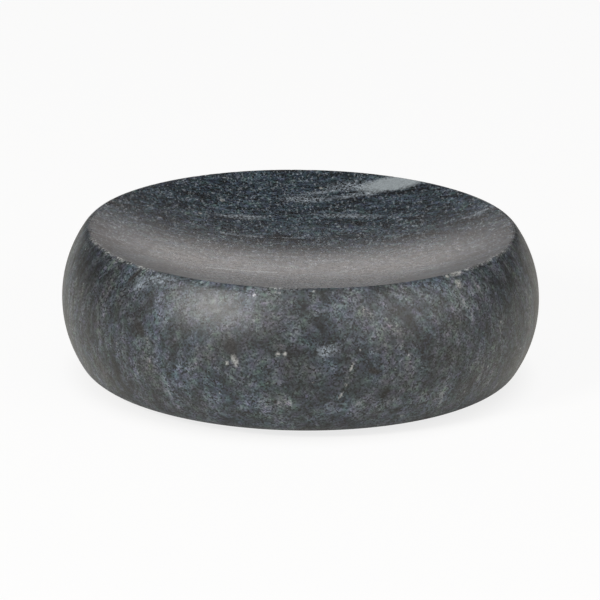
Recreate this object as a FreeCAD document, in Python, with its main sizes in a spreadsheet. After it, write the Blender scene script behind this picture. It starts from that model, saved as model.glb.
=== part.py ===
"""Round soap dish turned from one block of dark grey marble, standing on stick-on rubber feet.

The frame is +Z up with the origin on the table, under the middle of the dish. Lengths are millimetres.
"""
import FreeCAD
import Part
import Sketcher
import math
import os

# Each row is a name, its value and what it measures.
DRIVING_DIMENSIONS = (
    ("outer_diameter", 110.0, "widest diameter of the stone, at the belly"),
    ("belly_height", 16.8, "height of the belly above the underside"),
    ("side_radius", 27.4, "radius of the bulging side"),
    ("base_corner_radius", 4.8, "rounding between underside and side"),
    ("shoulder_radius", 6.0, "rounding between side and top"),
    ("blank_height", 34.7, "height of the turned block before the bowl is cut"),
    ("bowl_radius", 138.0, "spherical radius of the bowl"),
    ("floor_thickness", 24.5, "stone left under the middle of the bowl"),
    ("rim_edge_radius", 0.6, "easing of the crease between bowl and shoulder"),
    ("foot_count", 4, "rubber feet under the stone"),
    ("foot_diameter", 12.0, "diameter of a foot"),
    ("foot_thickness", 1.3, "rubber of a foot"),
    ("foot_edge_radius", 0.4, "moulded rounding of a foot's lower edge"),
    ("foot_inset", 7.0, "distance of a foot from the edge of the flat underside"),
    ("adhesive_thickness", 0.2, "adhesive film between a foot and the stone"),
    ("adhesive_margin", 0.4, "step in from the edge of a foot to its adhesive"),
)
FULL_TURN = 360
RADIUS_OF_UNDERSIDE = "radius_of_underside"
# How a sketch constraint numbers the points of an element, and the two axes of the sketch.
START, END, CENTRE = range(1, 4)
HORIZONTAL_AXIS, VERTICAL_AXIS = range(-1, -3, -1)


def add_sheet(doc):
    """Write the driving dimensions into a spreadsheet, one named cell each."""
    sheet = doc.addObject("Spreadsheet::Sheet", "dims")
    for row, (name, value, meaning) in enumerate(DRIVING_DIMENSIONS, start=1):
        sheet.set("A%d" % row, name)
        sheet.set("B%d" % row, str(value))
        sheet.set("C%d" % row, meaning)
        sheet.setAlias("B%d" % row, name)
    doc.recompute()
    return sheet


def add_body(doc, name):
    """Add an empty sub-part that carries its own name."""
    body = doc.addObject("PartDesign::Body", name)
    body.Label = name
    return body


def add_sketch(body, name, plane_role):
    """Add a sketch on one of the body's own origin planes."""
    sketch = body.newObject("Sketcher::SketchObject", name)
    plane = next(item for item in body.Origin.OriginFeatures if item.Role == plane_role)
    sketch.AttachmentSupport = [(plane, "")]
    sketch.MapMode = "FlatFace"
    return sketch


def drive(sketch, constraint, expression):
    """Add a dimension to a sketch and bind it to an expression of the sheet."""
    index = sketch.addConstraint(constraint)
    sketch.setExpression("Constraints[%d]" % index, expression)


def require_fully_constrained(sketch):
    """Stop if a sketch has a conflict or can still move."""
    if sketch.solve() != 0 or not sketch.FullyConstrained:
        raise RuntimeError("sketch %s is not fully constrained" % sketch.Label)


def point(across, up):
    """Return a point of a sketch plane."""
    return FreeCAD.Vector(across, up, 0)


def arc(centre, radius, start_angle, end_angle):
    """Return an arc of a sketch plane, counterclockwise between two angles in radians."""
    circle = Part.Circle(centre, FreeCAD.Vector(0, 0, 1), radius)
    return Part.ArcOfCircle(circle, start_angle, end_angle)


def nested_centre(dims, side_centre, radius, height):
    """Return the centre of a smaller arc that touches the side arc from inside, at a given height."""
    rise = height - side_centre.y
    reach = math.sqrt((dims.side_radius - radius) ** 2 - rise ** 2)
    return point(side_centre.x + reach, height)


def direction(start, end):
    """Return the angle of the line from one point to another."""
    return math.atan2(end.y - start.y, end.x - start.x)


def draw_blank_outline(sketch, dims):
    """Draw half the section of the turned block: underside, corner, side, shoulder, top and axis."""
    side_centre = point(dims.outer_diameter / 2 - dims.side_radius, dims.belly_height)
    corner_height = dims.base_corner_radius
    corner_centre = nested_centre(dims, side_centre, dims.base_corner_radius, corner_height)
    shoulder_height = dims.blank_height - dims.shoulder_radius
    shoulder_centre = nested_centre(dims, side_centre, dims.shoulder_radius, shoulder_height)
    corner_angle = direction(side_centre, corner_centre)
    shoulder_angle = direction(side_centre, shoulder_centre)
    top_of_axis = point(0, dims.blank_height)
    top_of_shoulder = point(shoulder_centre.x, dims.blank_height)

    underside = sketch.addGeometry(Part.LineSegment(point(0, 0), point(corner_centre.x, 0)))
    corner = sketch.addGeometry(arc(corner_centre, dims.base_corner_radius, -math.pi / 2, corner_angle))
    side = sketch.addGeometry(arc(side_centre, dims.side_radius, corner_angle, shoulder_angle))
    shoulder = sketch.addGeometry(arc(shoulder_centre, dims.shoulder_radius, shoulder_angle, math.pi / 2))
    top = sketch.addGeometry(Part.LineSegment(top_of_shoulder, top_of_axis))
    axis = sketch.addGeometry(Part.LineSegment(top_of_axis, point(0, 0)))

    outline = (underside, corner, side, shoulder, top)
    for before, after in zip(outline, outline[1:]):
        sketch.addConstraint(Sketcher.Constraint("Tangent", before, END, after, START))
    sketch.addConstraint(Sketcher.Constraint("Coincident", top, END, axis, START))
    sketch.addConstraint(Sketcher.Constraint("Coincident", axis, END, underside, START))
    sketch.addConstraint(Sketcher.Constraint("Coincident", underside, START, HORIZONTAL_AXIS, START))
    sketch.addConstraint(Sketcher.Constraint("Horizontal", underside))
    sketch.addConstraint(Sketcher.Constraint("Horizontal", top))
    sketch.addConstraint(Sketcher.Constraint("Vertical", axis))

    origin = (HORIZONTAL_AXIS, START)
    drive(sketch, Sketcher.Constraint("Radius", corner, dims.base_corner_radius), "dims.base_corner_radius")
    drive(sketch, Sketcher.Constraint("Radius", side, dims.side_radius), "dims.side_radius")
    drive(sketch, Sketcher.Constraint("Radius", shoulder, dims.shoulder_radius), "dims.shoulder_radius")
    drive(
        sketch,
        Sketcher.Constraint("DistanceX", *origin, side, CENTRE, side_centre.x),
        "dims.outer_diameter / 2 - dims.side_radius",
    )
    drive(
        sketch,
        Sketcher.Constraint("DistanceY", *origin, side, CENTRE, side_centre.y),
        "dims.belly_height",
    )
    drive(
        sketch,
        Sketcher.Constraint("DistanceY", *origin, top, END, dims.blank_height),
        "dims.blank_height",
    )
    require_fully_constrained(sketch)

    measured = sketch.addConstraint(
        Sketcher.Constraint("DistanceX", underside, START, underside, END, corner_centre.x)
    )
    sketch.setDriving(measured, False)
    sketch.renameConstraint(measured, RADIUS_OF_UNDERSIDE)


def draw_bowl_outline(sketch, dims):
    """Draw half the section of the bowl cut: a spherical arc from the axis to above the block."""
    arc_centre = point(0, dims.floor_thickness + dims.bowl_radius)
    # The quarter circle ends at the height of its own centre, well above and outside the block.
    cut = sketch.addGeometry(arc(arc_centre, dims.bowl_radius, -math.pi / 2, 0))
    lid = sketch.addGeometry(Part.LineSegment(point(dims.bowl_radius, arc_centre.y), arc_centre))
    axis = sketch.addGeometry(Part.LineSegment(arc_centre, point(0, dims.floor_thickness)))

    sketch.addConstraint(Sketcher.Constraint("Coincident", cut, END, lid, START))
    sketch.addConstraint(Sketcher.Constraint("Coincident", lid, END, axis, START))
    sketch.addConstraint(Sketcher.Constraint("Coincident", axis, END, cut, START))
    sketch.addConstraint(Sketcher.Constraint("Coincident", cut, CENTRE, lid, END))
    sketch.addConstraint(Sketcher.Constraint("PointOnObject", cut, CENTRE, VERTICAL_AXIS))
    sketch.addConstraint(Sketcher.Constraint("Horizontal", lid))
    sketch.addConstraint(Sketcher.Constraint("Vertical", axis))

    origin = (HORIZONTAL_AXIS, START)
    drive(sketch, Sketcher.Constraint("Radius", cut, dims.bowl_radius), "dims.bowl_radius")
    drive(
        sketch,
        Sketcher.Constraint("DistanceY", *origin, axis, END, dims.floor_thickness),
        "dims.floor_thickness",
    )
    require_fully_constrained(sketch)


def turn(body, kind, name, sketch):
    """Add a full revolution, or a full turned cut, about the upright axis of a sketch."""
    feature = body.newObject(kind, name)
    feature.Profile = sketch
    feature.ReferenceAxis = (sketch, ["V_Axis"])
    feature.Angle = FULL_TURN
    return feature


def find_rim(shape):
    """Return the names of the edges round the bowl, and the narrowest width of the faces beside them."""
    bowl_face = next(face for face in shape.Faces if isinstance(face.Surface, Part.Sphere))
    rims = [edge for edge in bowl_face.Edges if edge.isClosed() and not edge.Degenerated]
    names = []
    for number, edge in enumerate(shape.Edges, start=1):
        if any(edge.isSame(rim) for rim in rims):
            names.append("Edge%d" % number)
    beside = shape.ancestorsOfType(rims[0], Part.Face)
    # The only open edge of a turned face is its section, so its length is the width of the face.
    width = min(edge.Length for face in beside for edge in face.Edges if not edge.isClosed())
    return names, width


def build_stone_dish(doc, dims):
    """Turn the block, hollow its top into a shallow bowl and ease the rim."""
    body = add_body(doc, "stone_dish")
    body.setExpression("Placement.Base.z", "dims.foot_thickness + dims.adhesive_thickness")

    outline = add_sketch(body, "blank_outline", "XZ_Plane")
    draw_blank_outline(outline, dims)
    blank = turn(body, "PartDesign::Revolution", "turned_blank", outline)
    doc.recompute()

    bowl_outline = add_sketch(body, "bowl_outline", "XZ_Plane")
    draw_bowl_outline(bowl_outline, dims)
    bowl = turn(body, "PartDesign::Groove", "bowl", bowl_outline)
    doc.recompute()
    if bowl.Shape.Volume >= blank.Shape.Volume:
        raise RuntimeError("the bowl removed no stone")

    edge_names, width_beside = find_rim(bowl.Shape)
    rim = body.newObject("PartDesign::Fillet", "eased_rim")
    rim.Base = (bowl, edge_names)
    rim.setExpression("Radius", "min(dims.rim_edge_radius; %.4f)" % width_beside)
    doc.recompute()
    return body


def add_disc(body, name, radius, thickness):
    """Add a flat round disc that stands on the body's own XY plane."""
    sketch = add_sketch(body, name + "_outline", "XY_Plane")
    unit_circle = Part.Circle()
    edge = sketch.addGeometry(unit_circle)
    sketch.addConstraint(Sketcher.Constraint("Coincident", edge, CENTRE, HORIZONTAL_AXIS, START))
    drive(sketch, Sketcher.Constraint("Radius", edge, unit_circle.Radius), radius)
    require_fully_constrained(sketch)
    disc = body.newObject("PartDesign::Pad", name + "_disc")
    disc.Profile = sketch
    disc.setExpression("Length", thickness)
    return disc


def place_under_stone(body, number, height):
    """Set a body on the circle of feet, at a height above the table."""
    flat = "blank_outline.Constraints.%s / 1 mm" % RADIUS_OF_UNDERSIDE
    reach = "(%s - dims.foot_inset - dims.foot_diameter / 2)" % flat
    angle = "((%d - 0.5) * %d / dims.foot_count)" % (number, FULL_TURN)
    body.setExpression("Placement.Base.x", "%s * cos(%s)" % (reach, angle))
    body.setExpression("Placement.Base.y", "%s * sin(%s)" % (reach, angle))
    body.setExpression("Placement.Base.z", height)


def build_rubber_foot(doc, number):
    """Build one moulded rubber foot that stands on the table, its lower edge rounded."""
    name = "rubber_foot_%d" % number
    body = add_body(doc, name)
    disc = add_disc(body, name, "dims.foot_diameter / 2", "dims.foot_thickness")
    doc.recompute()
    rings = [item for item in enumerate(disc.Shape.Edges, start=1) if item[1].isClosed()]
    lowest = min(rings, key=lambda item: item[1].CenterOfMass.z)
    rounding = body.newObject("PartDesign::Fillet", name + "_rounding")
    rounding.Base = (disc, ["Edge%d" % lowest[0]])
    rounding.setExpression("Radius", "min(dims.foot_edge_radius; dims.foot_thickness / 2)")
    place_under_stone(body, number, "0")
    return body


def build_foot_adhesive(doc, number):
    """Build the adhesive film that holds one foot to the stone."""
    name = "foot_adhesive_%d" % number
    body = add_body(doc, name)
    add_disc(body, name, "dims.foot_diameter / 2 - dims.adhesive_margin", "dims.adhesive_thickness")
    place_under_stone(body, number, "dims.foot_thickness")
    return body


def build_feet(doc, dims):
    """Build the feet and their adhesive films, spaced evenly round the underside."""
    feet = []
    for number in range(1, int(dims.foot_count) + 1):
        feet.append(build_rubber_foot(doc, number))
        feet.append(build_foot_adhesive(doc, number))
    doc.recompute()
    return feet


def check(doc, parts):
    """Stop if anything in the document failed, or a sub-part is not one valid solid."""
    for item in doc.Objects:
        if "Invalid" in item.State or "Error" in item.State:
            raise RuntimeError("%s failed to build" % item.Label)
    for part in parts:
        if part.Shape.isNull() or not part.Shape.isValid() or len(part.Shape.Solids) != 1:
            raise RuntimeError("%s is not one valid solid" % part.Label)


def main():
    """Build the dish and write each sub-part to its own file."""
    doc = FreeCAD.newDocument("soap_dish")
    dims = add_sheet(doc)
    parts = [build_stone_dish(doc, dims)] + build_feet(doc, dims)
    check(doc, parts)
    os.makedirs("parts", exist_ok=True)
    for part in parts:
        part.Shape.exportStep("parts/%s.step" % part.Label)
        box = part.Shape.optimalBoundingBox()
        print("%s: %.3f cm3, z %.3f to %.3f mm" % (part.Label, part.Shape.Volume / 1000, box.ZMin, box.ZMax))


main()
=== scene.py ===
import math
import bpy
from mathutils import Matrix, Vector


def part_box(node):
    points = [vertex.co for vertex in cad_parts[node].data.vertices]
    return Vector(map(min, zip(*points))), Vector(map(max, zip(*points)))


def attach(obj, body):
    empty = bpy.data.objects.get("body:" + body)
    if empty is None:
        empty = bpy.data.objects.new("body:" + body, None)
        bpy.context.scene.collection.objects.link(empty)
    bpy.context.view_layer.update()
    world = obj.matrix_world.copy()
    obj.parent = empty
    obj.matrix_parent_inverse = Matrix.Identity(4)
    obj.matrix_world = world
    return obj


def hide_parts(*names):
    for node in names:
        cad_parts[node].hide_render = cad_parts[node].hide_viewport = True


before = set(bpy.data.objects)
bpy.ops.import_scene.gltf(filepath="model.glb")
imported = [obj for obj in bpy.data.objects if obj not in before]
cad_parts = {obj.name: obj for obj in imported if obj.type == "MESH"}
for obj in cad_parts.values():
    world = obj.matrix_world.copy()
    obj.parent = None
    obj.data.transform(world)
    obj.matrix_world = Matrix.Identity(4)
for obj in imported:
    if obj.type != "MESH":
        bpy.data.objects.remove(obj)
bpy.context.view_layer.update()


# Stone dish. One block of dark grey crystalline marble, turned on a lathe to a
# bulging side and a shallow round bowl. The bowl is polished, the outside honed,
# the underside ground flat, and the thin rim has bruised a little in handling.

MM = 0.001
stone_low, stone_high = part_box("stone_dish")
UNDERSIDE_HEIGHT = stone_low[2]
BELLY_RADIUS = stone_high[0]
BELLY_HEIGHT = 16.8 * MM
SIDE_RADIUS = 27.4 * MM
BASE_CORNER_RADIUS = 4.8 * MM
SHOULDER_RADIUS = 6.0 * MM
BLANK_HEIGHT = 34.7 * MM
BOWL_RADIUS = 138.0 * MM
FLOOR_THICKNESS = 24.5 * MM
RIM_EDGE_RADIUS = 0.6 * MM
RIM_WEAR_REACH = 1.6 * MM
STONE_SEGMENTS = 600


def nested_centre(centre, radius, height, inner_radius):
    # centre, at that height, of a smaller arc that touches the big arc from inside
    reach = math.sqrt((radius - inner_radius) ** 2 - (height - centre[1]) ** 2)
    return (centre[0] + reach, height)


def outer_meeting(first, first_reach, second, second_reach):
    # the outer of the two points that lie at these distances from two centres
    across = Vector(second) - Vector(first)
    along = (first_reach ** 2 - second_reach ** 2 + across.length_squared) / (2 * across.length)
    aside = math.sqrt(first_reach ** 2 - along ** 2)
    axis = across.normalized()
    foot = Vector(first) + along * axis
    step = aside * Vector((-axis.y, axis.x))
    return max(foot + step, foot - step, key=lambda point: point.x)


def bearing(start, end):
    return math.atan2(end[1] - start[1], end[0] - start[0])


def arc(centre, radius, start, end, steps):
    turns = [start + (end - start) * step / steps for step in range(1, steps + 1)]
    return [(centre[0] + radius * math.cos(a), centre[1] + radius * math.sin(a)) for a in turns]


side = (BELLY_RADIUS - SIDE_RADIUS, BELLY_HEIGHT)
corner = nested_centre(side, SIDE_RADIUS, BASE_CORNER_RADIUS, BASE_CORNER_RADIUS)
shoulder = nested_centre(side, SIDE_RADIUS, BLANK_HEIGHT - SHOULDER_RADIUS, SHOULDER_RADIUS)
bowl = (0.0, FLOOR_THICKNESS + BOWL_RADIUS)
rim = outer_meeting(shoulder, SHOULDER_RADIUS - RIM_EDGE_RADIUS, bowl, BOWL_RADIUS + RIM_EDGE_RADIUS)
DOWN = -math.pi / 2
corner_end = bearing(side, corner)
side_end = bearing(side, shoulder)
shoulder_end = bearing(shoulder, rim)
rim_end = bearing(rim, bowl)
bowl_start = bearing(bowl, rim)
shoulder_wear = shoulder_end - RIM_WEAR_REACH / SHOULDER_RADIUS
bowl_wear = bowl_start - RIM_WEAR_REACH / BOWL_RADIUS

UNDERSIDE_RINGS = 10
CORNER_STEPS = 12
SIDE_STEPS = 46
SHOULDER_STEPS = 10
WEAR_STEPS = 12
RIM_STEPS = 8
BOWL_STEPS = 44
outline = [(corner[0] * ring / UNDERSIDE_RINGS, 0.0) for ring in range(UNDERSIDE_RINGS + 1)]
outline += arc(corner, BASE_CORNER_RADIUS, DOWN, corner_end, CORNER_STEPS)
outline += arc(side, SIDE_RADIUS, corner_end, side_end, SIDE_STEPS)
outline += arc(shoulder, SHOULDER_RADIUS, side_end, shoulder_wear, SHOULDER_STEPS)
outline += arc(shoulder, SHOULDER_RADIUS, shoulder_wear, shoulder_end, WEAR_STEPS)
rim_ring = len(outline)
outline += arc(rim, RIM_EDGE_RADIUS, shoulder_end, rim_end, RIM_STEPS)
bowl_ring = len(outline)
outline += arc(bowl, BOWL_RADIUS, bowl_start, bowl_wear, WEAR_STEPS)
outline += arc(bowl, BOWL_RADIUS, bowl_wear, DOWN, BOWL_STEPS)


def plug(tree, socket, value):
    if isinstance(value, bpy.types.NodeSocket):
        tree.links.new(value, socket)
    else:
        socket.default_value = value


def node(tree, kind, inputs=None, **settings):
    made = tree.nodes.new(kind)
    for name, value in settings.items():
        setattr(made, name, value)
    for key, value in (inputs or {}).items():
        plug(tree, made.inputs[key], value)
    return made


def calc(tree, operation, *values, clamp=False):
    made = node(tree, "ShaderNodeMath", dict(enumerate(values)), operation=operation, use_clamp=clamp)
    return made.outputs[0]


def vector_calc(tree, operation, *values):
    made = node(tree, "ShaderNodeVectorMath", dict(enumerate(values)), operation=operation)
    return made.outputs["Vector"]


def scaled(tree, vector, factor):
    made = node(tree, "ShaderNodeVectorMath", {0: vector, "Scale": factor}, operation="SCALE")
    return made.outputs["Vector"]


FIELD_STEP = (31.7, 17.3, 53.1)


def offset(tree, place, seed):
    # a far-off part of the same field, so that each use of it differs
    step = node(tree, "ShaderNodeCombineXYZ", {axis: seed for axis in range(3)}).outputs[0]
    return vector_calc(tree, "MULTIPLY_ADD", step, FIELD_STEP, place)


def noise(tree, place, size, detail, roughness, seed):
    field = {
        "Vector": offset(tree, place, seed),
        "Scale": 1 / size,
        "Detail": detail,
        "Roughness": roughness,
    }
    return node(tree, "ShaderNodeTexNoise", field)


def remap(tree, value, low, high, to_low=0.0, to_high=1.0, smooth=True):
    ends = {"Value": value, "From Min": low, "From Max": high, "To Min": to_low, "To Max": to_high}
    kind = "SMOOTHSTEP" if smooth else "LINEAR"
    return node(tree, "ShaderNodeMapRange", ends, interpolation_type=kind).outputs[0]


SEAM_GAP = 1e-6
CHIPPED = (0.54, 0.72)


def turning_tree():
    # turns a profile of points about Z, then wears it: slow hand-finished waves and chips in the rim
    tree = bpy.data.node_groups.new("turned_piece", "GeometryNodeTree")
    face = tree.interface
    face.new_socket("Profile", in_out="INPUT", socket_type="NodeSocketGeometry")
    face.new_socket("Segments", in_out="INPUT", socket_type="NodeSocketInt")
    face.new_socket("Rings", in_out="INPUT", socket_type="NodeSocketInt")
    face.new_socket("Wave Depth", in_out="INPUT", socket_type="NodeSocketFloat")
    face.new_socket("Chip Depth", in_out="INPUT", socket_type="NodeSocketFloat")
    face.new_socket("Seed", in_out="INPUT", socket_type="NodeSocketFloat")
    face.new_socket("Material", in_out="INPUT", socket_type="NodeSocketMaterial")
    face.new_socket("Turned", in_out="OUTPUT", socket_type="NodeSocketGeometry")
    given = tree.nodes.new("NodeGroupInput").outputs
    around = calc(tree, "ADD", given["Segments"], 1.0)
    sheet = node(tree, "GeometryNodeMeshGrid", {"Vertices X": around, "Vertices Y": given["Rings"]})
    index = tree.nodes.new("GeometryNodeInputIndex").outputs[0]
    ring = calc(tree, "MODULO", index, given["Rings"])
    segment = calc(tree, "FLOOR", calc(tree, "DIVIDE", calc(tree, "ADD", index, 0.5), given["Rings"]))
    turn = calc(tree, "DIVIDE", calc(tree, "MULTIPLY", segment, 2 * math.pi), given["Segments"])

    def from_profile(value, kind):
        source = {"Geometry": given["Profile"], "Value": value, "Index": ring}
        return node(tree, "GeometryNodeSampleIndex", source, data_type=kind).outputs[0]

    position = tree.nodes.new("GeometryNodeInputPosition").outputs[0]
    drawn = from_profile(position, "FLOAT_VECTOR")
    placed = node(
        tree, "ShaderNodeVectorRotate", {"Vector": drawn, "Angle": turn}, rotation_type="Z_AXIS"
    ).outputs[0]
    shape = node(
        tree, "GeometryNodeSetPosition", {"Geometry": sheet.outputs["Mesh"], "Position": placed}
    ).outputs[0]
    for name in ("polish", "wear"):
        mark = node(tree, "GeometryNodeInputNamedAttribute", {"Name": name}, data_type="FLOAT")
        kept = from_profile(mark.outputs["Attribute"], "FLOAT")
        shape = node(
            tree,
            "GeometryNodeStoreNamedAttribute",
            {"Geometry": shape, "Name": name, "Value": kept},
            data_type="FLOAT",
            domain="POINT",
        ).outputs[0]
    seam = {"Geometry": shape, "Distance": SEAM_GAP}
    shape = node(tree, "GeometryNodeMergeByDistance", seam).outputs[0]
    in_mm = scaled(tree, position, 1 / MM)
    waves = noise(tree, in_mm, size=14.0, detail=1.0, roughness=0.4, seed=given["Seed"]).outputs[0]
    flakes = noise(tree, in_mm, size=1.3, detail=2.0, roughness=0.6, seed=given["Seed"]).outputs[0]
    wear = node(tree, "GeometryNodeInputNamedAttribute", {"Name": "wear"}, data_type="FLOAT")
    chips = calc(tree, "MULTIPLY", remap(tree, flakes, *CHIPPED), wear.outputs["Attribute"])
    depth = calc(
        tree,
        "ADD",
        calc(tree, "MULTIPLY", waves, given["Wave Depth"]),
        calc(tree, "MULTIPLY", chips, given["Chip Depth"]),
    )
    normal = tree.nodes.new("GeometryNodeInputNormal").outputs[0]
    inwards = scaled(tree, normal, calc(tree, "MULTIPLY", depth, -1.0))
    shape = node(tree, "GeometryNodeSetPosition", {"Geometry": shape, "Offset": inwards}).outputs[0]
    shape = node(tree, "GeometryNodeSetShadeSmooth", {"Geometry": shape}).outputs[0]
    shape = node(tree, "GeometryNodeRealizeInstances", {"Geometry": shape}).outputs[0]
    finished = {"Geometry": shape, "Material": given["Material"]}
    shape = node(tree, "GeometryNodeSetMaterial", finished).outputs[0]
    tree.links.new(shape, tree.nodes.new("NodeGroupOutput").inputs["Turned"])
    return tree


def grown(piece, tree, values):
    # runs a tree on a piece and leaves its result as the piece's plain mesh
    modifier = piece.modifiers.new(tree.name, "NODES")
    modifier.node_group = tree
    for item in tree.interface.items_tree:
        if item.item_type == "SOCKET" and item.name in values:
            modifier[item.identifier] = values[item.name]
    bpy.context.view_layer.update()
    ready = piece.evaluated_get(bpy.context.evaluated_depsgraph_get())
    mesh = bpy.data.meshes.new_from_object(ready)
    piece.modifiers.remove(modifier)
    drawing = piece.data
    piece.data = mesh
    bpy.data.meshes.remove(drawing)
    mesh.name = piece.name


def profile_piece(name, points, height, **marks):
    mesh = bpy.data.meshes.new(name + "_profile")
    mesh.from_pydata([(r, 0.0, z + height) for r, z in points], [], [])
    for mark, values in marks.items():
        mesh.attributes.new(mark, "FLOAT", "POINT").data.foreach_set("value", values)
    piece = bpy.data.objects.new(name, mesh)
    bpy.context.scene.collection.objects.link(piece)
    return piece


def procedural(name):
    material = bpy.data.materials.new(name)
    material.use_nodes = True
    tree = material.node_tree
    shader = tree.nodes["Principled BSDF"]
    place = tree.nodes.new("ShaderNodeTexCoord").outputs["Object"]
    return material, tree, shader, scaled(tree, place, 1 / MM)


def streak(tree, place, start, end, width, soft=0.6):
    # 1 inside a long rounded body from start to end, fading to 0 over its outer part
    run = Vector(end) - Vector(start)
    reach = run.length / 2 + width
    lie = run.to_track_quat("X", "Z").to_euler() if run.length else (0.0, 0.0, 0.0)
    body = {
        "Vector": place,
        "Location": (Vector(start) + Vector(end)) / 2,
        "Rotation": lie,
        "Scale": (reach, width, width),
    }
    local = node(tree, "ShaderNodeMapping", body, vector_type="TEXTURE").outputs[0]
    away = node(tree, "ShaderNodeVectorMath", {0: local}, operation="LENGTH").outputs["Value"]
    return remap(tree, away, 1.0 - soft, 1.0 + soft, 1.0, 0.0)


def streaks(tree, place, bodies, soft=0.6):
    seen = None
    for start, end, width in bodies:
        body = streak(tree, place, start, end, width, soft)
        seen = body if seen is None else calc(tree, "MAXIMUM", seen, body)
    return seen


def blended(tree, part, under, over):
    made = node(tree, "ShaderNodeMix", {0: part, 6: under, 7: over}, data_type="RGBA")
    return made.outputs[2]


def crystals(tree, place, size, seed):
    # a field of grains: three random numbers for each, and the distance from its middle
    field = {"Vector": offset(tree, place, seed), "Scale": 1 / size}
    made = node(tree, "ShaderNodeTexVoronoi", field)
    own = node(tree, "ShaderNodeSeparateXYZ", {0: made.outputs["Color"]}).outputs
    return own, made.outputs["Distance"]


def shifted(tree, place, amount, size, detail, seed):
    # the same place, pushed about by noise, for frayed and swirled edges
    push = noise(tree, place, size, detail, roughness=0.6, seed=seed).outputs["Color"]
    push = vector_calc(tree, "SUBTRACT", push, (0.5, 0.5, 0.5))
    return vector_calc(tree, "ADD", place, scaled(tree, push, 2 * amount))


def centred(tree, value, amount):
    return calc(tree, "MULTIPLY", calc(tree, "SUBTRACT", value, 0.5), amount)


def total(tree, *values):
    added = values[0]
    for value in values[1:]:
        added = calc(tree, "ADD", added, value)
    return added


# natural markings of the block, and a painted reflection of the far rim on the near slope of the
# bowl: where each starts and ends, and half its width, in mm
PALE_BANDS = [
    ((17.5, 40.7, 33.2), (27.5, 41.6, 34.5), 3.0),
]
# a thin painted reflection of the far rim, lying across the near slope of the bowl
PAINTED_RIM_REFLECTION = [
    ((-21.8, -11.4, 28.2), (-13.9, -9.4, 27.0), 0.3),
    ((-15.5, -9.7, 27.1), (-4.5, -8.7, 26.3), 0.35),
]
BLUE_CLOUDS = [
    ((-2.3, 36.7, 31.0), (4.6, 36.8, 31.0), 1.3),
    ((-18.5, 26.0, 29.8), (-9.5, 27.5, 29.0), 0.9),
    ((4.6, 29.4, 29.2), (16.6, 27.3, 29.7), 0.8),
    ((1.5, 39.0, 31.6), (8.0, 40.5, 32.3), 0.7),
    ((8.5, 41.5, 33.0), (15.0, 41.5, 33.4), 1.7),
    ((9.0, 37.4, 31.5), (16.5, 38.0, 32.5), 0.9),
    ((14.5, 38.0, 32.2), (17.0, 38.2, 32.4), 0.8),
    ((39.0, 17.5, 33.0), (44.5, 19.0, 34.7), 0.8),
    ((-20.0, 16.4, 27.8), (3.0, 17.4, 27.3), 0.4),
    ((-34.3, -37.3, 33.0), (-28.9, -40.7, 34.1), 0.9),
    ((-36.3, -37.2, 30.9), (-34.8, -38.0, 32.4), 0.8),
    ((5.0, -54.4, 22.0), (7.0, -54.3, 22.6), 1.1),
]
DARK_STREAKS = [
    ((-35.5, -34.8, 34.3), (-38.4, -34.5, 31.4), 0.55),
    ((-35.9, -41.0, 23.5), (-35.0, -42.0, 22.0), 1.0),
    ((-15.3, -52.4, 23.5), (-14.8, -52.8, 21.5), 1.2),
    ((-41.8, -32.1, 29.2), (-41.8, -32.1, 29.2), 0.45),
    ((-5.3, -53.5, 10.1), (-5.3, -53.5, 10.1), 0.5),
    ((15.5, -52.6, 17.5), (17.0, -52.2, 17.0), 0.7),
]
WHITE_GRAINS = [
    ((-14.4, -53.1, 19.8), (-14.0, -53.1, 18.8), 0.65),
    ((-15.9, -52.6, 18.7), (-15.9, -52.6, 18.7), 0.4),
    ((-4.8, -54.5, 21.5), (-4.8, -54.5, 21.5), 0.45),
    ((-3.2, -54.6, 21.6), (-3.2, -54.6, 21.6), 0.4),
    ((11.3, -53.8, 18.0), (11.7, -53.8, 19.2), 0.22),
    ((10.2, -53.7, 14.3), (10.2, -53.7, 14.3), 0.3),
    ((9.4, -53.5, 12.2), (8.8, -53.4, 11.2), 0.28),
    ((34.0, -35.8, 34.6), (35.2, -34.6, 34.6), 0.5),
    ((32.4, -37.3, 34.5), (32.4, -37.3, 34.5), 0.45),
    ((35.1, -36.9, 33.0), (35.1, -36.9, 32.5), 0.7),
    ((52.3, -15.4, 23.3), (52.3, -15.4, 23.3), 0.35),
    ((-18.9, 33.4, 31.4), (-18.9, 33.4, 31.4), 0.5),
    ((-23.9, 25.3, 30.5), (-23.9, 25.3, 30.5), 0.4),
    ((4.5, 41.5, 32.5), (4.5, 41.5, 32.5), 0.4),
]
BRUISED_RIM = [
    ((-47.8, -11.1, 34.9), (-45.5, -18.5, 34.9), 0.8),
    ((-45.5, -18.5, 34.9), (-41.9, -25.3, 34.9), 0.9),
    ((-41.9, -25.3, 34.9), (-37.5, -31.5, 34.8), 1.1),
    ((-37.5, -31.5, 34.8), (-32.8, -36.8, 34.7), 0.8),
    ((32.4, -37.0, 34.8), (37.5, -31.5, 34.8), 0.8),
    ((37.5, -31.5, 34.8), (42.0, -25.0, 34.9), 0.9),
    ((42.0, -25.0, 34.9), (46.0, -17.0, 34.9), 0.9),
    ((-8.0, -48.4, 34.9), (-1.0, -49.0, 34.9), 0.6),
]
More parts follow.
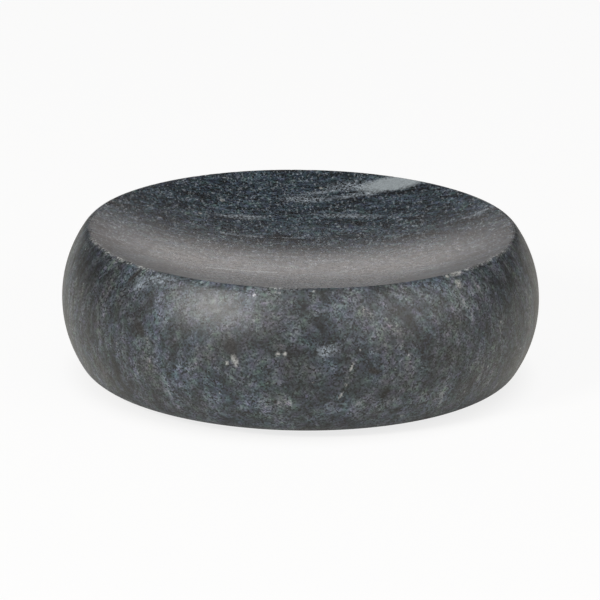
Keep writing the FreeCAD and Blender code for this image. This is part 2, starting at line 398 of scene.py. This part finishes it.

# broad areas drawn lighter or darker, each with how much it changes the tone. Most are clouds in the
# stone; the three lighter ones on the front shoulder, under the rim, are painted highlight
BROAD_TONES_AND_PAINTED_HIGHLIGHTS = [
    ((-49.0, -19.0, 30.5), (-48.0, -26.0, 23.5), 6.0, -0.5),
    ((-47.5, -20.6, 31.1), (-39.5, -35.5, 28.5), 5.0, -0.35),
    ((-39.0, -36.3, 27.5), (-33.2, -43.5, 19.0), 4.5, -0.3),
    ((-44.4, -30.1, 9.8), (-38.9, -36.9, 9.7), 4.0, -0.2),
    ((-27.3, -46.8, 11.8), (-25.5, -45.9, 6.8), 3.0, 0.4),
    ((-26.5, -47.9, 15.5), (-14.5, -51.5, 9.5), 4.0, 0.35),
    ((-21.0, -50.5, 21.8), (-5.4, -54.4, 22.5), 3.4, -0.5),
    ((-11.0, -53.8, 15.5), (16.0, -52.8, 14.5), 3.4, -0.4),
    # painted highlight: the key softbox's sheen carried up the front-left shoulder to the rim
    ((-26.3, -42.0, 34.2), (-9.0, -48.6, 34.0), 1.6, 0.8),
    ((-7.5, -52.3, 28.4), (-4.0, -52.6, 28.6), 2.2, -0.35),
    ((4.0, -52.0, 29.5), (7.0, -51.9, 30.0), 3.0, 0.25),
    ((13.0, -50.4, 30.6), (13.5, -50.6, 28.5), 3.0, -0.2),
    ((19.8, -50.9, 22.8), (19.8, -50.9, 22.8), 2.5, -0.3),
    # the next two are painted highlight: the sheen of the long softbox on the front-right shoulder
    ((20.7, -44.6, 34.8), (33.1, -36.4, 34.8), 2.0, 0.5),
    ((26.0, -43.5, 33.5), (39.0, -36.0, 29.0), 4.5, 0.35),
    ((-13.0, -52.0, 9.4), (0.0, -53.5, 9.4), 2.6, 0.4),
    ((1.0, -53.6, 9.3), (6.5, -53.3, 9.2), 2.8, 0.65),
    ((8.0, -53.0, 9.2), (22.0, -48.4, 8.4), 2.6, 0.4),
    ((21.2, -48.5, 7.9), (39.3, -36.0, 8.7), 3.5, 0.25),
    ((48.3, -22.8, 28.5), (48.3, -26.0, 21.5), 4.0, -0.35),
]


def swing(tree, contrast, *parts):
    # brightness that swings about 1, and stops at black
    away = calc(tree, "MULTIPLY", total(tree, *parts), contrast)
    half = calc(tree, "MULTIPLY_ADD", away, 0.5, 1.0)
    return calc(tree, "POWER", calc(tree, "MAXIMUM", half, 0.0), 2.0)


POLISH_ONSET = (0.0, 0.25)
BED_LIE = (math.radians(8), math.radians(-6), math.radians(7))
BED_SCALE = (1.0, 2.6, 1.0)
marble, tree, shader, place = procedural("marble")
polish = node(tree, "ShaderNodeAttribute", attribute_name="polish").outputs["Fac"]
wear = node(tree, "ShaderNodeAttribute", attribute_name="wear").outputs["Fac"]
beds = {"Vector": place, "Rotation": BED_LIE, "Scale": BED_SCALE}
bedded = node(tree, "ShaderNodeMapping", beds).outputs[0]
swirled = shifted(tree, bedded, amount=2.4, size=9.0, detail=1.0, seed=1.0)
frayed = shifted(tree, place, amount=0.9, size=2.2, detail=2.0, seed=2.0)
nibbled = shifted(tree, place, amount=0.2, size=0.6, detail=1.0, seed=3.0)
clouds = noise(tree, swirled, size=11.0, detail=1.0, roughness=0.5, seed=4.0).outputs[0]
mottle = noise(tree, swirled, size=3.2, detail=2.0, roughness=0.6, seed=5.0).outputs[0]
grain = noise(tree, place, size=0.9, detail=1.0, roughness=0.6, seed=10.0).outputs[0]
small = crystals(tree, place, size=0.36, seed=6.0)[0]
large = crystals(tree, nibbled, size=0.95, seed=7.0)[0]

# how strongly each scale of the pattern lightens and darkens the stone
HONED_CONTRAST = 0.84
CLOUD_SWING = 2.8
MOTTLE_SWING = 4.2
GRAIN_SPREAD = 0.4
SMALL_SPREAD = 2.2
LARGE_SPREAD = 0.3
contrast = remap(tree, polish, *POLISH_ONSET, HONED_CONTRAST, 1.0)
tone = swing(tree, contrast, centred(tree, clouds, CLOUD_SWING), centred(tree, mottle, MOTTLE_SWING))
spread = total(
    tree,
    centred(tree, grain, GRAIN_SPREAD),
    centred(tree, small[0], SMALL_SPREAD),
    centred(tree, large[0], LARGE_SPREAD),
)
glint = calc(tree, "MAXIMUM", calc(tree, "MULTIPLY_ADD", spread, contrast, 1.0), 0.0)

# slight drifts to warm and to green, by bed and by fleck, and warmer where it is paler
UNTINTED = (1.0, 1.0, 1.0)
WARM_TINT = (0.45, 0.05, -0.37)
GREEN_TINT = (-0.6, 0.2, -0.6)
BED_WARMTH = 1.0
BOWL_WARMTH = 0.45
PALE_WARMTH = 0.12
FLECK_WARMTH = 0.4
FLECK_GREEN = 1.0
warm_beds = noise(tree, swirled, size=8.0, detail=1.0, roughness=0.6, seed=8.0).outputs[0]
warmth = centred(tree, warm_beds, BED_WARMTH)
warmth = calc(tree, "MULTIPLY", warmth, remap(tree, polish, *POLISH_ONSET, 1.0, BOWL_WARMTH))
flecks = noise(tree, place, size=1.6, detail=1.0, roughness=0.6, seed=12.0).outputs["Color"]
fleck_tint = node(tree, "ShaderNodeSeparateXYZ", {0: flecks}).outputs
brightness = calc(tree, "MULTIPLY", tone, glint)
paler = calc(tree, "MULTIPLY_ADD", brightness, PALE_WARMTH, -PALE_WARMTH)
warmth = total(tree, warmth, paler, centred(tree, fleck_tint[0], FLECK_WARMTH))
tint = vector_calc(tree, "ADD", scaled(tree, WARM_TINT, warmth), UNTINTED)
green = scaled(tree, GREEN_TINT, centred(tree, fleck_tint[1], FLECK_GREEN))
tint = vector_calc(tree, "ADD", tint, green)

HONED_GREY = (0.0306, 0.0394, 0.0489, 1.0)
POLISHED_GREY = (0.0166, 0.0264, 0.0369, 1.0)
CLOUD_BLUE = (0.098, 0.116, 0.135, 1.0)
stone_colour = blended(tree, remap(tree, polish, *POLISH_ONSET), HONED_GREY, POLISHED_GREY)
ground = scaled(tree, vector_calc(tree, "MULTIPLY", tint, stone_colour), tone)
# each broad area lightens or darkens the colour, the painted highlight on the shoulder among them
for start, end, width, change in BROAD_TONES_AND_PAINTED_HIGHLIGHTS:
    area = streak(tree, frayed, start, end, width, soft=0.9)
    ground = scaled(tree, ground, calc(tree, "MULTIPLY_ADD", area, change, 1.0))
ground = blended(tree, streaks(tree, frayed, BLUE_CLOUDS, soft=0.8), ground, CLOUD_BLUE)

# painted glints: crystal faces that flash in the polished bowl, painted into the colour in white,
# drawn out from front to back
FLASH_SCALE = (1.0, 0.38, 1.0)
FLASHING = (0.72, 1.0)
FLASH_STRENGTH = 0.26
PAINTED_GLINT_WHITE = (0.26, 0.285, 0.31, 1.0)
flash_place = vector_calc(tree, "MULTIPLY", place, FLASH_SCALE)
flash = crystals(tree, flash_place, size=0.38, seed=11.0)[0]
in_bowl = remap(tree, polish, *POLISH_ONSET, 0.0, FLASH_STRENGTH)
painted_glint = calc(tree, "MULTIPLY", remap(tree, flash[0], *FLASHING), in_bowl)
ground = blended(tree, painted_glint, ground, PAINTED_GLINT_WHITE)

BAND_AND_REFLECTION_GREY = (0.212, 0.243, 0.264, 1.0)
STREAK_BLACK = (0.010, 0.010, 0.011, 1.0)
# the pale band in the stone and the painted reflection of the far rim, laid on in one pale grey
bands = streaks(tree, frayed, PALE_BANDS, soft=0.35)
band_and_painted_reflection = calc(tree, "MAXIMUM", bands, streaks(tree, nibbled, PAINTED_RIM_REFLECTION))
ground = blended(tree, band_and_painted_reflection, ground, BAND_AND_REFLECTION_GREY)
ground = blended(tree, streaks(tree, nibbled, DARK_STREAKS, soft=0.5), ground, STREAK_BLACK)

# a fine white speck in about one crystal in five
SPECKED = (0.78, 0.80)
SPECK_SIZES = (0.05, 0.14)
SPECK_STRENGTH = 0.5
SPECK_WHITE = (0.26, 0.27, 0.28, 1.0)
speck, speck_edge = crystals(tree, nibbled, size=2.6, seed=9.0)
chosen = remap(tree, speck[0], *SPECKED)
speck_size = remap(tree, speck[1], 0.0, 1.0, *SPECK_SIZES, smooth=False)
specks = calc(tree, "MULTIPLY", chosen, calc(tree, "LESS_THAN", speck_edge, speck_size))
ground = blended(tree, calc(tree, "MULTIPLY", specks, SPECK_STRENGTH), ground, SPECK_WHITE)

GRAIN_BREAKS = (-0.2, 0.5)
GRAIN_STRENGTH = 0.8
GRAIN_WHITE = (0.27, 0.275, 0.27, 1.0)
broken = remap(tree, small[1], *GRAIN_BREAKS, 0.0, GRAIN_STRENGTH)
grains = calc(tree, "MULTIPLY", streaks(tree, nibbled, WHITE_GRAINS, soft=0.7), broken)
ground = blended(tree, grains, ground, GRAIN_WHITE)

NEAR_RIM = (0.5, 1.0)
BRUISE_BREAKS = (0.15, 0.65)
BRUISE_STRENGTH = 0.5
BRUISE_WHITE = (0.27, 0.28, 0.28, 1.0)
along_rim = streaks(tree, place, BRUISED_RIM, soft=0.5)
along_rim = calc(tree, "MULTIPLY", along_rim, remap(tree, wear, *NEAR_RIM))
bruise = calc(tree, "MULTIPLY", along_rim, remap(tree, small[1], *BRUISE_BREAKS))
ground = blended(tree, calc(tree, "MULTIPLY", bruise, BRUISE_STRENGTH), ground, BRUISE_WHITE)

MARKING_CALM = 0.85
marked = calc(tree, "MULTIPLY", calc(tree, "MAXIMUM", band_and_painted_reflection, grains), MARKING_CALM)
calm = calc(tree, "SUBTRACT", 1.0, marked)
glint = calc(tree, "MULTIPLY_ADD", calc(tree, "SUBTRACT", glint, 1.0), calm, 1.0)
plug(tree, shader.inputs["Base Color"], scaled(tree, ground, glint))

HONED_ROUGHNESS = 0.46
POLISH_GAIN = -0.21
CRYSTAL_ROUGHNESS = 0.06
STONE_IOR = 1.5
finish = calc(tree, "MULTIPLY_ADD", polish, POLISH_GAIN, HONED_ROUGHNESS)
finish = total(tree, finish, centred(tree, large[1], CRYSTAL_ROUGHNESS))
plug(tree, shader.inputs["Roughness"], finish)
shader.inputs["IOR"].default_value = STONE_IOR

RIM_FLAKES = 3.4
FLAKED = (0.5, 0.7)
RELIEF_DEPTH = 0.035 * MM
BOWL_RELIEF = 0.02
relief = noise(tree, place, size=0.3, detail=1.0, roughness=0.6, seed=13.0).outputs[0]
flakes = noise(tree, place, size=0.9, detail=2.0, roughness=0.6, seed=14.0).outputs[0]
flakes = calc(tree, "MULTIPLY", remap(tree, flakes, *FLAKED), wear)
relief = calc(tree, "MULTIPLY_ADD", flakes, -RIM_FLAKES, relief)
strength = remap(tree, polish, 0.0, 1.0, 1.0, BOWL_RELIEF)
uneven = {"Height": relief, "Distance": RELIEF_DEPTH, "Strength": strength}
plug(tree, shader.inputs["Normal"], node(tree, "ShaderNodeBump", uneven).outputs[0])

# -1 on the ground underside, 0 on the honed outside, and up to 1 in the polished bowl
GROUND_POLISH = -1.0
POLISH_FADE = 40.0 * MM
RIM_DULLNESS = 0.5
bowl_edge = outline[bowl_ring][0]
polish_level = [GROUND_POLISH if z == 0.0 else 0.0 for r, z in outline]
for ring in range(bowl_ring, len(outline)):
    short = max(0.0, 1.0 - (bowl_edge - outline[ring][0]) / POLISH_FADE)
    polish_level[ring] = 1.0 - RIM_DULLNESS * short ** 2

# 1 on the eased rim, fading out over the worn rings on each side of it
HALF_RIM = RIM_STEPS / 2
from_rim = [max(0.0, abs(ring - rim_ring - HALF_RIM) - HALF_RIM) for ring in range(len(outline))]
wear_level = [max(0.0, 1.0 - steps / WEAR_STEPS) for steps in from_rim]

WAVE_DEPTH = 0.05 * MM
CHIP_DEPTH = 0.08 * MM
STONE_SEED = 4.0
stone_dish = profile_piece(
    "marble_dish",
    outline,
    UNDERSIDE_HEIGHT,
    polish=polish_level,
    wear=wear_level,
)
turned_piece = turning_tree()
grown(stone_dish, turned_piece, {
    "Segments": STONE_SEGMENTS,
    "Rings": len(outline),
    "Wave Depth": WAVE_DEPTH,
    "Chip Depth": CHIP_DEPTH,
    "Seed": STONE_SEED,
    "Material": marble,
})
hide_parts("stone_dish")
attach(stone_dish, "root")


# Rubber feet. Four stick-on discs of black moulded rubber under the flat base, each with
# a rounded lower edge and a shallow ring moulded into the face that it stands on.

foot_low, foot_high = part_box("rubber_foot_1")
FOOT_RADIUS = (foot_high[0] - foot_low[0]) / 2
FOOT_THICKNESS = foot_high[2] - foot_low[2]
FOOT_EDGE_RADIUS = 0.4 * MM
FOOT_TOP_RADIUS = 0.15 * MM
FOOT_RING_RADIUS = 3.7 * MM
FOOT_RING_WIDTH = 0.5 * MM
FOOT_RING_DEPTH = 0.16 * MM
FOOT_SEGMENTS = 96
FOOT_FACE_RINGS = 4
FOOT_RING_STEPS = 8
FOOT_EDGE_STEPS = 6
FOOT_TOP_STEPS = 4
FOOT_COUNT = 4
foot_middle = (Vector(foot_low) + Vector(foot_high)) / 2
foot_reach = math.hypot(foot_middle.x, foot_middle.y)
foot_turn = math.atan2(foot_middle.y, foot_middle.x)
ring_start = FOOT_RING_RADIUS - FOOT_RING_WIDTH
foot_outline = [(ring_start * ring / FOOT_FACE_RINGS, 0.0) for ring in range(FOOT_FACE_RINGS + 1)]
for step in range(1, FOOT_RING_STEPS + 1):
    across = step / FOOT_RING_STEPS
    dip = FOOT_RING_DEPTH * math.sin(math.pi * across) ** 2
    foot_outline.append((ring_start + 2 * FOOT_RING_WIDTH * across, dip))
foot_outline.append((FOOT_RADIUS - FOOT_EDGE_RADIUS, 0.0))
lower = (FOOT_RADIUS - FOOT_EDGE_RADIUS, FOOT_EDGE_RADIUS)
upper = (FOOT_RADIUS - FOOT_TOP_RADIUS, FOOT_THICKNESS - FOOT_TOP_RADIUS)
foot_outline += arc(lower, FOOT_EDGE_RADIUS, DOWN, 0.0, FOOT_EDGE_STEPS)
foot_outline.append((FOOT_RADIUS, upper[1]))
foot_outline += arc(upper, FOOT_TOP_RADIUS, 0.0, -DOWN, FOOT_TOP_STEPS)
for ring in reversed(range(FOOT_FACE_RINGS)):
    foot_outline.append((upper[0] * ring / FOOT_FACE_RINGS, FOOT_THICKNESS))

RUBBER_BLACK = (0.016, 0.016, 0.017, 1.0)
BLOOM_GREY = (0.030, 0.030, 0.031, 1.0)
DUST_GREY = (0.11, 0.105, 0.1, 1.0)
BLOOMED = (0.35, 0.7)
DUSTED = (0.9, 0.92)
DUST_SIZE = 0.12
DUST_STRENGTH = 0.5
SKIN_RANGE = (0.3, 0.7)
SKIN_ROUGHNESS = (0.62, 0.85)
RUBBER_IOR = 1.5
PEBBLE_DEPTH = 0.03 * MM
PEBBLE_STRENGTH = 0.6
rubber, tree, shader, place = procedural("foot_rubber")
bloom = noise(tree, place, size=2.4, detail=3.0, roughness=0.6, seed=1.0).outputs[0]
moulding = noise(tree, place, size=0.18, detail=2.0, roughness=0.6, seed=2.0).outputs[0]
dust, dust_edge = crystals(tree, place, size=0.6, seed=3.0)
dusty = remap(tree, dust[0], *DUSTED)
fleck = calc(tree, "MULTIPLY", dusty, calc(tree, "LESS_THAN", dust_edge, DUST_SIZE))
skin = blended(tree, remap(tree, bloom, *BLOOMED), RUBBER_BLACK, BLOOM_GREY)
skin = blended(tree, calc(tree, "MULTIPLY", fleck, DUST_STRENGTH), skin, DUST_GREY)
plug(tree, shader.inputs["Base Color"], skin)
plug(tree, shader.inputs["Roughness"], remap(tree, bloom, *SKIN_RANGE, *SKIN_ROUGHNESS))
shader.inputs["IOR"].default_value = RUBBER_IOR
pebbled = {"Height": moulding, "Distance": PEBBLE_DEPTH, "Strength": PEBBLE_STRENGTH}
plug(tree, shader.inputs["Normal"], node(tree, "ShaderNodeBump", pebbled).outputs[0])


def ring_tree():
    # sets copies of a piece out on a circle about Z
    tree = bpy.data.node_groups.new("set_on_circle", "GeometryNodeTree")
    face = tree.interface
    face.new_socket("Piece", in_out="INPUT", socket_type="NodeSocketGeometry")
    face.new_socket("Count", in_out="INPUT", socket_type="NodeSocketInt")
    face.new_socket("Reach", in_out="INPUT", socket_type="NodeSocketFloat")
    face.new_socket("First Turn", in_out="INPUT", socket_type="NodeSocketFloat")
    face.new_socket("Material", in_out="INPUT", socket_type="NodeSocketMaterial")
    face.new_socket("Set", in_out="OUTPUT", socket_type="NodeSocketGeometry")
    given = tree.nodes.new("NodeGroupInput").outputs
    circle = {"Vertices": given["Count"], "Radius": given["Reach"]}
    places = node(tree, "GeometryNodeMeshCircle", circle).outputs["Mesh"]
    index = tree.nodes.new("GeometryNodeInputIndex").outputs[0]
    step = calc(tree, "DIVIDE", 2 * math.pi, given["Count"])
    turn = calc(tree, "MULTIPLY_ADD", index, step, given["First Turn"])
    turned = node(tree, "ShaderNodeCombineXYZ", {"Z": turn}).outputs[0]
    first = node(tree, "ShaderNodeCombineXYZ", {"Z": given["First Turn"]}).outputs[0]
    places = node(tree, "GeometryNodeTransform", {"Geometry": places, "Rotation": first}).outputs[0]
    copies = {"Points": places, "Instance": given["Piece"], "Rotation": turned}
    copies = node(tree, "GeometryNodeInstanceOnPoints", copies).outputs[0]
    whole = node(tree, "GeometryNodeRealizeInstances", {"Geometry": copies}).outputs[0]
    finished = {"Geometry": whole, "Material": given["Material"]}
    whole = node(tree, "GeometryNodeSetMaterial", finished).outputs[0]
    tree.links.new(whole, tree.nodes.new("NodeGroupOutput").inputs["Set"])
    return tree


FOOT_WAVE_DEPTH = 0.01 * MM
FOOT_SEED = 2.0
still = [0.0] * len(foot_outline)
rubber_feet = profile_piece("rubber_feet", foot_outline, foot_low[2], polish=still, wear=still)
grown(rubber_feet, turned_piece, {
    "Segments": FOOT_SEGMENTS,
    "Rings": len(foot_outline),
    "Wave Depth": FOOT_WAVE_DEPTH,
    "Chip Depth": 0.0,
    "Seed": FOOT_SEED,
    "Material": rubber,
})
grown(rubber_feet, ring_tree(), {
    "Count": FOOT_COUNT,
    "Reach": foot_reach,
    "First Turn": foot_turn,
    "Material": rubber,
})
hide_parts("rubber_foot_1", "rubber_foot_2", "rubber_foot_3", "rubber_foot_4")
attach(rubber_feet, "root")


# Adhesive films. A thin disc of pressure-sensitive film on the back of each foot, pale and
# satin, with small air bubbles where it was pressed on to the ground stone.

FILM_CREAM = (0.56, 0.51, 0.42, 1.0)
HAZE_CREAM = (0.66, 0.62, 0.54, 1.0)
BUBBLE_CREAM = (0.78, 0.75, 0.69, 1.0)
HAZED = (0.3, 0.7)
BUBBLED = (0.6, 0.62)
BUBBLE_EDGE = (0.15, 0.25)
BUBBLE_STRENGTH = 0.5
FILM_ROUGHNESS = (0.34, 0.52)
FILM_IOR = 1.48
BLISTER_DEPTH = 0.02 * MM
BLISTER_STRENGTH = 0.5
film, tree, shader, place = procedural("adhesive_film")
haze = noise(tree, place, size=1.8, detail=3.0, roughness=0.6, seed=1.0).outputs[0]
bubble, bubble_edge = crystals(tree, place, size=0.7, seed=2.0)
domes = remap(tree, bubble_edge, *BUBBLE_EDGE, 1.0, 0.0)
bubbles = calc(tree, "MULTIPLY", remap(tree, bubble[0], *BUBBLED), domes)
coat = blended(tree, remap(tree, haze, *HAZED), FILM_CREAM, HAZE_CREAM)
coat = blended(tree, calc(tree, "MULTIPLY", bubbles, BUBBLE_STRENGTH), coat, BUBBLE_CREAM)
plug(tree, shader.inputs["Base Color"], coat)
plug(tree, shader.inputs["Roughness"], remap(tree, haze, *HAZED, *FILM_ROUGHNESS))
shader.inputs["IOR"].default_value = FILM_IOR
blistered = {"Height": bubbles, "Distance": BLISTER_DEPTH, "Strength": BLISTER_STRENGTH}
plug(tree, shader.inputs["Normal"], node(tree, "ShaderNodeBump", blistered).outputs[0])
for number in range(1, FOOT_COUNT + 1):
    for finish_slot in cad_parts["foot_adhesive_%d" % number].material_slots:
        finish_slot.material = film


# Floor. A plain pale sweep of matt board under and behind the dish, held near white,
# with a faint soft shadow where the stone stands.

FLOOR_REACH = 6.0
BOARD_GREY = (0.62, 0.62, 0.62, 1.0)
BOARD_ROUGHNESS = 0.9
SEEN_WHITE = (1.0, 1.0, 1.0, 1.0)
MIRRORED_WHITE = (1.0, 0.955, 0.85, 1.0)
MIRRORED_LIFT = 0.8
CONTACT_SHADOW = (46.0, 57.0)
SHADOW_LIFT = 0.85
WHOLE_LIFT = 0.92
floor_mesh = bpy.data.meshes.new("floor")
floor_mesh.from_pydata(
    [(-FLOOR_REACH, -FLOOR_REACH, 0), (FLOOR_REACH, -FLOOR_REACH, 0),
     (FLOOR_REACH, FLOOR_REACH, 0), (-FLOOR_REACH, FLOOR_REACH, 0)],
    [],
    [(0, 1, 2, 3)],
)
floor = bpy.data.objects.new("floor", floor_mesh)
bpy.context.scene.collection.objects.link(floor)
board, tree, shader, place = procedural("pale_board")
shader.inputs["Base Color"].default_value = BOARD_GREY
shader.inputs["Roughness"].default_value = BOARD_ROUGHNESS
shader.inputs["Specular IOR Level"].default_value = 0.0
rays = tree.nodes.new("ShaderNodeLightPath").outputs
mirrored = calc(tree, "ADD", rays["Is Glossy Ray"], rays["Is Transmission Ray"])
seen = calc(tree, "MULTIPLY_ADD", mirrored, MIRRORED_LIFT, rays["Is Camera Ray"], clamp=True)
balanced = blended(tree, rays["Is Camera Ray"], MIRRORED_WHITE, SEEN_WHITE)
white = node(tree, "ShaderNodeEmission", {"Color": balanced, "Strength": 1.0}).outputs[0]
reach = node(tree, "ShaderNodeVectorMath", {0: place}, operation="LENGTH").outputs["Value"]
clear = remap(tree, reach, *CONTACT_SHADOW)
covered = calc(tree, "SUBTRACT", 1.0, clear)
shaded = calc(tree, "MULTIPLY", rays["Is Camera Ray"], SHADOW_LIFT)
lit = calc(tree, "MULTIPLY_ADD", shaded, covered, clear)
lift = calc(tree, "MULTIPLY", calc(tree, "MULTIPLY", seen, lit), WHOLE_LIFT)
lifted = node(tree, "ShaderNodeMixShader", {0: lift})
tree.links.new(shader.outputs[0], lifted.inputs[1])
tree.links.new(white, lifted.inputs[2])
tree.links.new(lifted.outputs[0], tree.nodes["Material Output"].inputs["Surface"])
floor_mesh.materials.append(board)


# Light. A soft white panel low behind the dish, whose lower edge rises to its ends, in a dim
# room. A small softbox stands at the front left, a long one at the front right, and a broad
# one hangs above the front.

PANEL_FOOT = (math.radians(3.2), math.radians(4.2))
PANEL_TOP = (math.radians(22.4), math.radians(23.6))
PANEL_SIDE = (math.radians(5), math.radians(36))
PANEL_SWEEP = 0.82
PANEL_LEVEL = 1.54
PANEL_WHITE = (1.0, 0.932, 0.9, 1.0)
ROOM_LEVEL = 0.12
KEY_WHITE = (1.0, 0.98, 0.95)
FILL_WHITE = (1.0, 0.955, 0.9)
world = bpy.data.worlds.new("studio")
bpy.context.scene.world = world
world.use_nodes = True
tree = world.node_tree
direction = tree.nodes.new("ShaderNodeTexCoord").outputs["Generated"]
ways = node(tree, "ShaderNodeSeparateXYZ", {0: direction}).outputs
rise = calc(tree, "ARCSINE", ways["Z"])
heading = calc(tree, "ABSOLUTE", calc(tree, "ARCTAN2", ways["X"], ways["Y"]))
above = calc(tree, "MULTIPLY_ADD", heading, -PANEL_SWEEP, rise)
panel = remap(tree, above, *PANEL_FOOT, smooth=False)
panel = calc(tree, "MULTIPLY", panel, remap(tree, rise, *PANEL_TOP, 1.0, 0.0, smooth=False))
panel = calc(tree, "MULTIPLY", panel, remap(tree, heading, *PANEL_SIDE, 1.0, 0.0, smooth=False))
level = calc(tree, "MULTIPLY_ADD", panel, PANEL_LEVEL - ROOM_LEVEL, ROOM_LEVEL)
sky = tree.nodes["Background"]
sky.inputs["Color"].default_value = PANEL_WHITE
tree.links.new(level, sky.inputs["Strength"])


def softbox(name, place, width, height, power, colour):
    lamp = bpy.data.lights.new(name, "AREA")
    lamp.shape = "RECTANGLE"
    lamp.size = width
    lamp.size_y = height
    lamp.energy = power
    lamp.color = colour
    holder = bpy.data.objects.new(name, lamp)
    bpy.context.scene.collection.objects.link(holder)
    holder.location = place
    aim = Vector((0, 0, BELLY_HEIGHT)) - Vector(place)
    holder.rotation_mode = "QUATERNION"
    holder.rotation_quaternion = aim.to_track_quat("-Z", "Y")


KEY_PLACE = (-0.70, -0.71, 0.6)
FILL_PLACE = (0.8, -0.6, 0.5)
TOP_PLACE = (0.1, -0.45, 1.1)
softbox("key_softbox", KEY_PLACE, width=0.27, height=0.25, power=14.0, colour=KEY_WHITE)
softbox("fill_softbox", FILL_PLACE, width=1.1, height=0.5, power=7.4, colour=FILL_WHITE)
softbox("top_softbox", TOP_PLACE, width=1.0, height=1.0, power=4.0, colour=FILL_WHITE)


# Camera. A long lens in front of the dish, looking down on it by about 17 degrees.

IMAGE_WIDTH = 600
FOCAL_PIXELS = 4332.657
SENSOR_WIDTH = 36.0
VIEW_REACH = 100.0
CAMERA_REACH = 1.0
CAMERA_RISE = 0.2974
CAMERA_ROLL = 0.01327
LOOK_HEIGHT = UNDERSIDE_HEIGHT + 16.75 * MM
AIM = Vector((-0.117 * MM, 0.0, LOOK_HEIGHT - 1.094 * MM))
lens = bpy.data.cameras.new("camera")
lens.sensor_width = SENSOR_WIDTH
lens.lens = FOCAL_PIXELS / IMAGE_WIDTH * SENSOR_WIDTH
lens.clip_end = VIEW_REACH
camera = bpy.data.objects.new("camera", lens)
bpy.context.scene.collection.objects.link(camera)
stand = Vector((0.0, -CAMERA_REACH * math.cos(CAMERA_RISE),
                LOOK_HEIGHT + CAMERA_REACH * math.sin(CAMERA_RISE)))
facing = (AIM - stand).to_track_quat("-Z", "Y").to_matrix().to_4x4()
camera.matrix_world = Matrix.Translation(stand) @ facing @ Matrix.Rotation(CAMERA_ROLL, 4, "Z")
bpy.context.scene.camera = camera
bpy.context.scene.view_settings.view_transform = "Standard"
